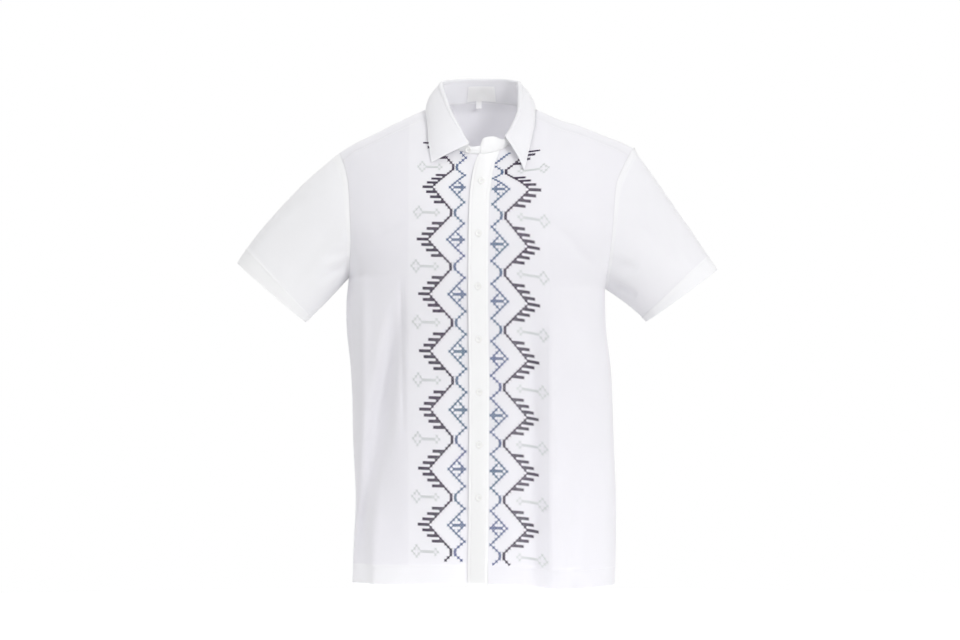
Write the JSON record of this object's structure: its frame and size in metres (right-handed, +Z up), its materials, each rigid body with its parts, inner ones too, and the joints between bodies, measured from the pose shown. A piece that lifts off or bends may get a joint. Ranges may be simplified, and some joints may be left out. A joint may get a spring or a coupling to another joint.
{
  "type": "button-up shirt",
  "caption": "Short-sleeved button-up shirt, filled out as if worn, with a pointed collar, front placket and a cross-stitch border.",
  "frame": {"origin": "centre plane of the body, level with the neck ends of the shoulders", "axes": "+Z up along the body, the front faces -Y, the wearer's left is at +X"},
  "size_m": [0.7676, 0.2685, 0.8173],
  "materials": {
    "linen": "plain-woven white linen, matt",
    "doubled_linen": "the same linen in layers, whiter and smoother",
    "label_tape": "woven tape, bare",
    "button": "satin white"
  },
  "bodies": {
    "root": {"front_right": "linen", "front_left": "linen", "back": "linen", "yoke": "linen", "sleeve_right": "linen", "sleeve_left": "linen", "placket": "doubled_linen", "collar_stand": "doubled_linen", "collar_fall": "doubled_linen", "label": "label_tape", "size_tab": "label_tape", "button_1": "button", "button_2": "button", "button_3": "button", "button_4": "button", "button_5": "button", "button_6": "button", "button_7": "button", "button_neck": "button"}
  },
  "joints": []
}
